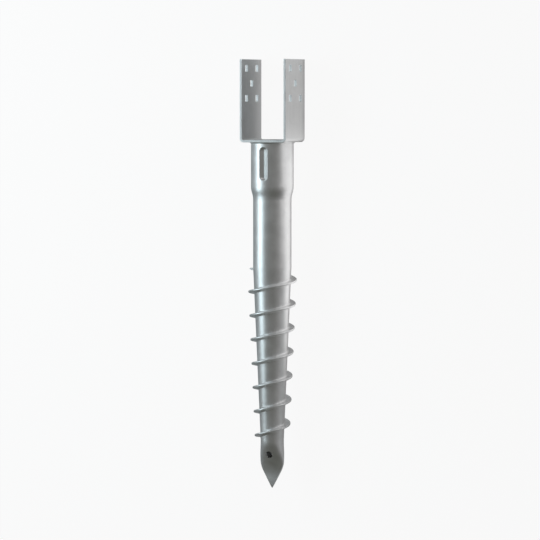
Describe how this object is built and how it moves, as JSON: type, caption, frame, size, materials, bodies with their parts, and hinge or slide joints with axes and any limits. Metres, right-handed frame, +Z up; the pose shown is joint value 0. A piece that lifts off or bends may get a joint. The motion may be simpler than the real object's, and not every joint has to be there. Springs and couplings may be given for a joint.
{
  "type": "helical pile",
  "caption": "Steel helical pile with a spiral flight round a tapered tube, a pinched point, and a folded U bracket with screw holes for a square post.",
  "frame": {"origin": "centre of the footprint of the lying pile, on the surface that it rests on", "axes": "+Z up, +Y along the pile from its point towards its bracket, +X across the bracket from leg to leg"},
  "size_m": [0.1014, 0.8654, 0.0987],
  "materials": {
    "galvanised_steel": "hot-dip galvanised, satin"
  },
  "bodies": {
    "root": {"pile_tube": "galvanised_steel", "helix_flight": "galvanised_steel", "u_bracket": "galvanised_steel", "flight_weld_upper": "galvanised_steel", "flight_weld_lower": "galvanised_steel", "bracket_weld": "galvanised_steel"}
  },
  "joints": []
}
